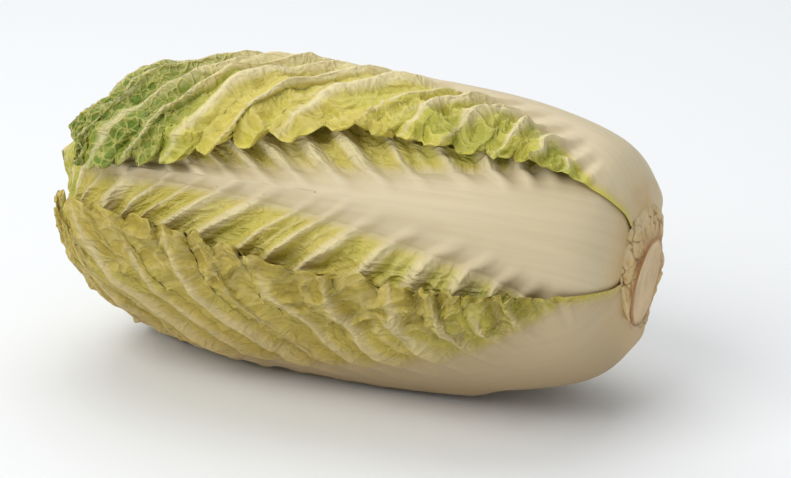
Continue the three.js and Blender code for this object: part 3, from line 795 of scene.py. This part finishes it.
def leaf_material(name, colours):
    """A leaf's flesh. The midrib is cream with fine lengthwise lines, rare specks and a brown stain at the
    stem. The blade goes from yellow to green by the green map. It is paler on its thin margin, the veins,
    the net, its seams and pleats and, where it is green, a honeycomb of the finest veins. Its hollows and
    the tucks between the lobes get painted light and shade: a saturated yellow that stands in for light
    glowing through the tissue, dark green where the blade is green. The map of browning and shade browns
    both midrib and blade, partly as real browning of the lowest leaves and partly as painted shade that
    grows towards their underside, and turns their hollows and the seams near the margin dark brown,
    painted shade with some real browning. The bump raises veins, seams, pleats and honeycomb by their own
    masks, and roughens all by noise."""
    s, c = Shader(name), colours
    rib, vein, hollow, green, edge, net, fine_net = s.attributes(
        "rib", "vein", "hollow", "green", "edge", "net", "fine_net")
    near_stem, tan, lobe, run_x, run_y, count, tuck_depth, begun = s.attributes(
        "near_stem", "tan", "lobe", "run_x", "run_y", "count", "tuck", "begun")
    where = s.place("Object", 1, 1, 1)
    mottle, cloud, fine = s.noise(where, 55.0, 4.0), s.noise(where, 14.0, 2.0), s.noise(where, 420.0, 3.0)
    lines = s.noise(s.place("UV", 170, 6, 1), 1.0, 4.0, 0.6)
    broad_lines = s.noise(s.place("UV", 34, 1.6, 1), 1.0, 3.0, 0.5)
    cloth = s.plane(run_x, run_y)
    seam = s.seams(s.warp(cloth, 1.3, 0.5), 1.0, 0.17)
    small_seam = s.seams(s.warp(cloth, 3.0, 0.25), 2.7, 0.25)
    pleat = s.noise(s.plane(run_x * 2.0, run_y * 0.5), 1.0, 2.0) - 0.5
    pleat = (1 - pleat * pleat * 60).clamped()
    line = count.near_whole(0.11) * vein.band(0.1, 0.45)
    honeycomb = s.seams(s.warp(s.place("Object", 190, 190, 190), 0.6, 0.7), 1.0, 0.16)
    honeycomb = honeycomb * green.band(0.3, 0.75) * (1 - rib)
    tuck = (count * LOBES_PER_VEIN + LOBE_SHIFT).near_whole(0.13) * tuck_depth * (1 - rib)
    specks = 1 - s.cell_map(where, 105.0, "F1").band(0.035, 0.075)
    specks = specks * s.noise(where, 37.0, 0.0).band(0.6, 0.66)

    blade = s.layers(
        c.blade,
        ((green * 1.25 - 0.05 + (cloud - 0.5) * 0.5).clamped(), c.fresh),
        (green.band(0.25, 0.7) * (1 - vein * 0.4), c.dark),
        # Painted light and shade in the hollows: a saturated yellow standing in for light glowing through the
        # tissue, dark green where the blade is green and dark brown on the lowest leaves.
        (hollow * 0.8, s.layers(c.hollow, (green, c.dark), (tan, c.brown_shaded_hollow))),
        ((mottle - 0.4) * 0.3 * (1 - green * 0.7), c.pale),
        ((net * 0.5 + fine_net * 0.12) * (1 - hollow * 0.5) * (1 - green * 0.5), c.pale),
        ((1 - lobe) * (1 - green) * 0.3, c.pale),
        ((seam * 0.25 + pleat * 0.12) * (1 - green * 0.6), c.pale),
        (edge * (1 - green) * 0.5, c.edge),
        (vein.band(0.12, 0.85) * (1 - green.band(0.4, 1) * 0.7), c.vein),
        (honeycomb * 0.55, c.pale),
        (line * 0.7, c.vein),
        # Painted shade in the tucks between the lobes, in the hollows' colour.
        (tuck * 0.3, c.hollow),
        # The lowest leaves' browning, darkened further towards the underside as painted shade.
        (tan * 0.75, c.brown_shaded_blade),
        # Fine dark brown lines of the net near the lowest leaf's margin: partly real browned veins, partly
        # painted shade in the creases.
        (tan * lobe * small_seam * 0.55, c.brown_shaded_hollow),
        (tan * seam * lobe.band(0.2, 0.8) * 0.3, c.vein),
    )
    bar = s.layers(
        c.rib,
        (broad_lines.band(0.35, 0.7) * 0.45, c.rib_shade),
        (lines.band(0.55, 0.75) * 0.12, c.vein),
        # The lowest leaves' midribs browned, darkened further towards the underside as painted shade.
        (tan * 0.85, c.brown_shaded_rib),
        (specks * 0.6, c.speck),
        (near_stem * (0.4 + 0.6 * mottle.band(0.3, 0.75)), c.scar),
    )
    raised = seam * (0.4 + green * 0.9) + small_seam * 0.2 + line * 0.5 + pleat * 0.45 + honeycomb * 0.9
    under = s.bump((1 - rib) * begun * (raised - tuck * 0.2), 0.0016, 0.6)
    grain = lines * rib * 0.12 + (1 - rib) * (mottle * 0.6 + fine * 0.25 + fine_net * 0.6) + fine * 0.06
    return s.finish({
        "Base Color": s.mix(rib, blade, bar),
        "Roughness": 0.46 + 0.10 * mottle - 0.06 * rib,
        "Normal": s.bump(grain, 0.0006, 0.55, under),
        **flesh(0.25, 0.0022),
    })


def heart_material(name, colours):
    """Yellow folded leaf tips, mottled with a paler yellow, and darker in the creases between them by painted
    shade.
    """
    s, c = Shader(name), colours
    mottle = s.noise(s.place("Object", 1, 1, 1), 60.0, 4.0)
    hollow, = s.attributes("hollow")
    return s.finish({
        "Base Color": s.layers(c.heart, (mottle.band(0.3, 0.7), c.pale), (hollow, c.hollow)),
        "Roughness": 0.5,
        "Normal": s.bump(mottle, 0.0012, 0.5),
        **flesh(0.3, 0.0035),
    })


def stem_material(name, colours):
    """Pinkish cream cut with a brown rim, and knobby leaf bases with dark grooves and a fine crackle,
    which turn into the midribs' cream where they meet the leaves. One noise mottles them all."""
    s, c = Shader(name), colours
    face, rim, crack, outer = s.attributes("face", "rim", "crack", "outer")
    where = s.place("Object", 1, 1, 1)
    mottle, fine = s.noise(where, 90.0, 5.0), s.noise(where, 480.0, 3.0)
    crackle = s.seams(s.warp(s.place("Object", 120, 120, 120), 1.0, 0.9), 1.0, 0.06)
    crackle = crackle * (1 - face) * mottle.band(0.4, 0.55)
    colour = s.layers(
        c.knob,
        (mottle.band(0.35, 0.7), c.scar),
        (outer * (1 - mottle.band(0.4, 0.7)) * 0.45, c.rib),
        (face, s.mix(mottle.band(0.3, 0.75), c.cut, c.cut_shade)),
        ((rim * (0.4 + mottle)).clamped(), c.rim),
        ((crack + crackle * 0.7).clamped(), c.crack),
    )
    return s.finish({
        "Base Color": colour,
        "Roughness": 0.55 + 0.15 * mottle,
        "Normal": s.bump(mottle + fine * 0.4 - crackle * 0.6, 0.0014, 0.7),
        **flesh(0.2, 0.003),
    })


# ---- Heart and stem ----


def heart_arrays(cover):
    """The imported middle: rings of the outline at the heart's level, with the overlapping edges of its
    leaf tips as steps that wind round it, ruffled by a sine and folded noise towards the tip."""
    sectors, smooth_rings, tip_rings, tip_from = 240, 30, 80, 240
    run = [np.linspace(HEART.start, tip_from, smooth_rings, endpoint=False)]
    run.append(np.linspace(tip_from, HEART.end, tip_rings))
    along, turn = np.meshgrid(np.concatenate(run), -360 * np.arange(sectors) / sectors, indexing="ij")
    tip = smoothstep(along, 200, 300)
    winding = turn + HEART.twist * along + 6 * wander(along / 12, turn / 24, 90) * tip
    fold = (winding * HEART.folds / 360) % 1
    flap = np.where(fold > 0.88, 1 - (fold - 0.88) / 0.12, fold / 0.88)
    waves = np.sin(np.radians(winding) * 17 + 1.5 * wander(turn / 20, along / 14, 91))
    crinkle = 1 - 2 * np.abs(wander(along / 5, turn / 7, 92))
    height = HEART.level * packing(along) + HEART.fold_step * tip * (flap - 0.5)
    height = height + tip * (0.9 * waves * flap + 0.7 * crinkle)
    cover.raise_to(along, turn, height)
    rings = head_point(along, turn, height)
    foot, crown = rings[0, 0, 0] + 1, rings[-1, 0, 0] - 0.5
    points = np.vstack([[[foot, 0, AXIS_HEIGHT]], rings.reshape(-1, 3), [[crown, 0, AXIS_HEIGHT]]])
    # Painted shade: the colour darkens in the creases just under each overlapping leaf tip.
    hollow = tip * fall(flap, 0.05, 0.5) * 0.8
    maps = {"hollow": np.concatenate([[0], hollow.ravel(), [0.5]])}
    return points, ring_faces(len(rings), sectors, 0, len(points) - 1), maps


def stem_arrays(cover):
    """The cut stem: rings over the dished cut face and its quarter-round rim, over the knobby flesh round
    it down to the leaf bases, whose height the cover map gives, and back into the head. The cut leans and
    hangs low. Each knob is half a circle across the turn, swelling as a sine from the rim to the leaves."""
    sectors = 240
    turn = -360 * np.arange(sectors) / sectors
    angle = np.radians(turn)
    uneven = wander(turn / 14, 0, 95)
    lobe = (turn * STEM.knobs / 360 + 0.3 * wander(turn / 31, 0, 96)) % 1
    knob = np.sqrt(np.clip(1 - (2 * lobe - 1) ** 2, 0, 1))

    def ring(x, r, cut=1.0):
        """A ring of radius r at x, which leans and drops with the cut by that share."""
        y, z = -r * np.cos(angle), r * np.sin(angle)
        lean = STEM.lean_up * z - STEM.lean_side * y
        return np.stack([x + cut * lean, y, AXIS_HEIGHT - cut * STEM.drop + z], -1)

    radius = STEM.radius * (1 + 0.035 * wander(turn / 38, 1, 94) + 0.02 * wander(turn / 9, 2, 94))
    face_share = np.linspace(0.03, 1, STEM.face_rings)[:, None]
    face_x = STEM.face - 1.6 * (1 - face_share**2) + 0.25 * wander(face_share * 9, turn / 40, 97)
    rim_angle = np.linspace(0.2, 1, STEM.rim_rings)[:, None] * np.pi / 2
    rim_x = STEM.face - 1.0 * (1 - np.cos(rim_angle))
    skin = np.linspace(0, 1, STEM.skin_rings)[:, None]
    root = STEM.root + 0 * turn
    root = head_point(root, turn, cover.draped(root, turn) - 0.5)
    swell = np.sin(np.pi * skin**1.4)
    lump = wander(skin * 4, turn / 9, 99) + 0.5 * wander(skin * 9, turn / 3.5, 93)
    rise = swell * (0.3 + 1.2 * knob * (1 + 0.5 * uneven) + 1.1 * lump)
    outward = np.stack([0.6 + 0 * turn, -0.8 * np.cos(angle), 0.8 * np.sin(angle)], -1)
    share = (skin + 0.06 * swell * uneven)[..., None]
    parts = [
        ring(face_x, face_share * (radius - 1)),
        ring(rim_x, radius - 1 + np.sin(rim_angle)),
        lerp(ring(STEM.face - 1.0 + 0 * turn, radius), root, share) + rise[..., None] * outward,
        np.stack([ring(x + 0 * turn, r, 0) for x, r in STEM.core]),
    ]
    rings = np.concatenate(parts)
    kind = np.concatenate([np.full(len(part), k) for k, part in enumerate(parts)])[:, None] + 0 * turn
    on_cut, on_skin = (kind <= 1) * 1.0, kind == 2
    from_middle = np.hypot(rings[..., 1], rings[..., 2] - AXIS_HEIGHT + STEM.drop)
    down = np.concatenate([0 * face_share, 0 * rim_angle, skin, np.ones((len(STEM.core), 1))])
    upper = smoothstep(np.sin(angle), -0.2, 0.7)
    outer = (kind >= 2) * smoothstep(down + 0.2 * uneven, 0.75 - 0.45 * upper, 0.95 - 0.3 * upper)
    groove = fall(knob, 0.15, 0.42) * smoothstep(down, 0.1, 0.3)
    crumbs = smoothstep(wander(down * 7, turn / 3.5, 98), 0.5, 0.8) * 0.4
    line = smoothstep(down, 0.93, 1) * smoothstep(wander(turn / 12, 3, 92), -0.2, 0.5) * (1 - upper)
    rim = on_cut * smoothstep(from_middle, radius - 2.6, radius - 0.6)
    below_rim = fall(down + 0.1 * wander(down * 9, turn / 5, 94), 0.06, 0.4) * (0.7 + 0.3 * uneven)
    maps = {
        "face": on_cut,
        "rim": np.clip(rim + on_skin * below_rim, 0, 1),
        "crack": np.clip(on_skin * ((groove * 0.6 + crumbs) * (1 - outer) + line * 0.6), 0, 1),
        "outer": outer,
    }
    middle = ring(STEM.face - 1.6 + 0 * turn, 0 * turn)[:1]
    points = np.vstack([middle, rings.reshape(-1, 3), [[96, 0, AXIS_HEIGHT]]])
    maps = {name: np.concatenate([[value[0].mean()], value.ravel(), [0]]) for name, value in maps.items()}
    return points, ring_faces(len(rings), sectors, 0, len(points) - 1), maps


# ---- Settings ----


def colour_setting(name, description, default):
    return FloatVectorProperty(
        name=name, description=description, default=default, subtype="COLOR", min=0, max=1)


class CabbageColours(bpy.types.PropertyGroup):
    rib: colour_setting("Midrib", "Cream of the midribs", (0.68, 0.575, 0.37))
    rib_shade: colour_setting("Midrib shade", "Tan between the midrib's lines", (0.60, 0.49, 0.30))
    # Brown of the lowest leaves' midribs, which also carries painted shade towards their underside.
    brown_shaded_rib: colour_setting("Old midrib", "Tan of the lowest leaf's midrib", (0.37, 0.255, 0.12))
    vein: colour_setting("Vein", "Pale colour of the side veins and net", (0.77, 0.665, 0.36))
    pale: colour_setting("Pale", "Lightest part of blade and heart", (0.71, 0.62, 0.19))
    blade: colour_setting("Blade", "Yellow of the blade", (0.57, 0.46, 0.07))
    # Olive brown of the lowest leaves' blade, which also carries painted shade towards their underside.
    brown_shaded_blade: colour_setting("Old blade", "Olive of the lowest leaf's blade", (0.39, 0.255, 0.04))
    fresh: colour_setting("Fresh green", "Green of the blade near stem and tip", (0.47, 0.55, 0.015))
    dark: colour_setting("Dark green", "Green of the top leaf's tip", (0.10, 0.20, 0.001))
    # Painted light and shade: the blade's colour in its hollows and tucks, a saturated yellow standing in for
    # light glowing through the tissue; on the heart, a darker yellow for the shade in its creases.
    hollow: colour_setting("Hollow", "Blade in its hollows", (0.55, 0.49, 0.05))
    edge: colour_setting("Margin", "Thin margin of the leaves", (0.72, 0.62, 0.14))
    # Dark brown for the lowest leaves' hollows and seams: browning with painted shade.
    brown_shaded_hollow: colour_setting("Old hollow", "Lowest leaf's blade in its hollows", (0.27, 0.19, 0.025))
    heart: colour_setting("Heart", "Yellow of the heart", (0.72, 0.62, 0.16))
    speck: colour_setting("Speck", "Small specks on the midribs", (0.25, 0.16, 0.08))
    scar: colour_setting("Scar", "Tan stain at the leaf bases", (0.62, 0.42, 0.17))
    cut: colour_setting("Cut", "Cut face of the stem", (0.76, 0.56, 0.31))
    cut_shade: colour_setting("Cut shade", "Darker parts of the cut face", (0.62, 0.44, 0.24))
    rim: colour_setting("Rim", "Brown rim of the cut", (0.40, 0.19, 0.06))
    knob: colour_setting("Leaf base", "Cut leaf bases round the stem", (0.72, 0.53, 0.26))
    crack: colour_setting("Crack", "Cracks between the leaf bases", (0.30, 0.15, 0.05))


def number_setting(name, description, default, **kind):
    return FloatProperty(name=name, description=description, default=default, **kind)


class CabbageStage(bpy.types.PropertyGroup):
    azimuth: number_setting("Azimuth", "Turn of the camera", math.radians(26.9), subtype="ANGLE")
    elevation: number_setting("Elevation", "Camera over the floor", math.radians(17.9), subtype="ANGLE")
    distance: number_setting("Distance", "Camera to the head", 0.899, unit="LENGTH")
    lens: number_setting("Lens", "Focal length in millimetres", 85.0, min=10)
    height: number_setting("Height", "Place that the camera turns round", 0.0734, unit="LENGTH")
    aim_right: number_setting("Aim right", "Aim point beside the axis", 0.0226, unit="LENGTH")
    aim_down: number_setting("Aim down", "Aim point below the axis", 0.0096, unit="LENGTH")
    key: number_setting("Key light", "Power of the large soft light", 34.0, min=0, unit="POWER")
    top: number_setting("Top light", "Power of the light overhead", 27.0, min=0, unit="POWER")
    sky: number_setting("Sky", "Strength of the light from all round", 0.48, min=0)
    floor: colour_setting("Floor", "Colour of the floor", (0.88, 0.895, 0.91))


# ---- Operators ----

COVER = Cover()


def build_leaves(leaves, material, slot):
    """Lays a group of leaves from the innermost outwards and adds each one's mesh."""
    for leaf in reversed(leaves):
        points, faces, maps = leaf_mesh_arrays(lay_leaf(leaf, COVER))
        add_piece("cabbage_" + leaf.node, points, faces, maps, material, [leaf.node], slot)


class CABBAGE_OT_stem(bpy.types.Operator):
    """Adds the cut stem with its ring of leaf bases"""

    bl_idname = "cabbage.stem"
    bl_label = "Stem"

    def execute(self, context):
        material = stem_material("cut_stem", context.scene.cabbage_colours)
        add_piece("cabbage_stem", *stem_arrays(COVER), material, ["stem"], "stem")
        return {"FINISHED"}


class CABBAGE_OT_heart(bpy.types.Operator):
    """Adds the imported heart"""

    bl_idname = "cabbage.heart"
    bl_label = "Heart"

    def execute(self, context):
        material = heart_material("heart_leaf", context.scene.cabbage_colours)
        add_piece("cabbage_heart", *heart_arrays(COVER), material, ["heart"], "heart")
        return {"FINISHED"}


class CABBAGE_OT_inner_leaves(bpy.types.Operator):
    """Adds the leaves between the heart and the outer leaves"""

    bl_idname = "cabbage.inner_leaves"
    bl_label = "Inner leaves"

    def execute(self, context):
        build_leaves(INNER_LEAVES, leaf_material("inner_leaf", context.scene.cabbage_colours), "inner_leaf")
        return {"FINISHED"}


class CABBAGE_OT_outer_leaves(bpy.types.Operator):
    """Adds the outer leaves"""

    bl_idname = "cabbage.outer_leaves"
    bl_label = "Outer leaves"

    def execute(self, context):
        build_leaves(OUTER_LEAVES, leaf_material("outer_leaf", context.scene.cabbage_colours), "outer_leaf")
        return {"FINISHED"}


def aim(thing, target):
    """Turns a light or camera at a place so that its -Z axis points at the target."""
    thing.rotation_euler = (Vector(target) - thing.location).to_track_quat("-Z", "Y").to_euler()


def add_light(name, place, target, size, power, colour):
    light = bpy.data.lights.new(name, "AREA")
    light.shape = "RECTANGLE"
    light.size, light.size_y = size
    light.energy = power
    light.color = colour
    lamp = put(name, light)
    lamp.location = place
    aim(lamp, target)


def add_camera(stage):
    """Places the camera at an azimuth, elevation and distance from the head's middle and aims it beside."""
    a, e = stage.azimuth, stage.elevation
    back = Vector((math.sin(a) * math.cos(e), -math.cos(a) * math.cos(e), math.sin(e)))
    right = Vector((math.cos(a), math.sin(a), 0))
    middle = Vector((0, 0, stage.height))
    camera = put("camera", bpy.data.cameras.new("camera"))
    camera.data.lens = stage.lens
    camera.data.sensor_width = 36
    camera.location = middle + back * stage.distance
    bpy.context.scene.camera = camera
    aim(camera, middle + right * stage.aim_right - back.cross(right) * stage.aim_down)


def add_floor(stage):
    """A round floor of rings, wide enough to fill every view."""
    sectors, radii = 96, np.array([0.2, 0.5, 1.2, 3.0, 8.0])
    angle = 2 * np.pi * np.arange(sectors) / sectors
    ring = np.stack([np.cos(angle), np.sin(angle), 0 * angle], -1)
    points = np.vstack([[[0, 0, 0]], (radii[:, None, None] * ring).reshape(-1, 3)])
    j, k = np.arange(sectors), (np.arange(sectors) + 1) % sectors
    faces = [np.stack([np.zeros(sectors, int), 1 + j, 1 + k], -1)]
    for i in range(len(radii) - 1):
        a, b = 1 + i * sectors + j, 1 + i * sectors + k
        faces += [np.stack([a, a + sectors, b + sectors], -1), np.stack([a, b + sectors, b], -1)]
    mesh = bpy.data.meshes.new("floor")
    mesh.from_pydata(points, [], np.concatenate(faces))
    s = Shader("floor")
    tint = s.mix(s.noise(s.place("Object", 1, 1, 1), 30.0) * 0.03, stage.floor, (0.7, 0.7, 0.7))
    mesh.materials.append(s.finish({"Base Color": tint, "Roughness": 0.6}))
    floor = put("floor", mesh)


class CABBAGE_OT_stage(bpy.types.Operator):
    """Adds the floor, the soft studio light and the camera"""

    bl_idname = "cabbage.stage"
    bl_label = "Stage"

    def execute(self, context):
        stage = context.scene.cabbage_stage
        add_camera(stage)
        add_floor(stage)
        middle = (0, 0, 0.07)
        add_light("key", (-0.8, -1.5, 1.75), middle, (2.0, 1.8), stage.key, (1.0, 0.985, 0.96))
        add_light("top", (-0.5, 1.0, 2.2), middle, (2.2, 2.2), stage.top, (1.0, 0.99, 0.97))
        world = bpy.data.worlds.new("studio")
        world.use_nodes = True
        world.node_tree.nodes["Background"].inputs["Color"].default_value = (0.93, 0.96, 1.0, 1)
        world.node_tree.nodes["Background"].inputs["Strength"].default_value = stage.sky
        context.scene.world = world
        context.scene.view_settings.view_transform = "Standard"
        return {"FINISHED"}


class CABBAGE_PT_panel(bpy.types.Panel):
    """Lists the cabbage's operators and settings"""

    bl_label = "Napa cabbage"
    bl_idname = "CABBAGE_PT_panel"
    bl_space_type = "VIEW_3D"
    bl_region_type = "UI"
    bl_category = "Cabbage"

    def draw(self, context):
        for operator in OPERATORS:
            self.layout.operator(operator.bl_idname)
        for group in (context.scene.cabbage_colours, context.scene.cabbage_stage):
            for key in group.__annotations__:
                self.layout.prop(group, key)


OPERATORS = [
    CABBAGE_OT_stage, CABBAGE_OT_stem, CABBAGE_OT_heart, CABBAGE_OT_inner_leaves, CABBAGE_OT_outer_leaves,
]
CLASSES = [CabbageColours, CabbageStage, *OPERATORS, CABBAGE_PT_panel]


def register():
    for cls in CLASSES:
        bpy.utils.register_class(cls)
    bpy.types.Scene.cabbage_colours = PointerProperty(type=CabbageColours)
    bpy.types.Scene.cabbage_stage = PointerProperty(type=CabbageStage)


def unregister():
    del bpy.types.Scene.cabbage_stage
    del bpy.types.Scene.cabbage_colours
    for cls in reversed(CLASSES):
        bpy.utils.unregister_class(cls)


def main():
    register()
    bpy.ops.cabbage.stage()
    bpy.ops.cabbage.heart()
    bpy.ops.cabbage.inner_leaves()
    bpy.ops.cabbage.outer_leaves()
    bpy.ops.cabbage.stem()


if __name__ == "__main__":
    main()
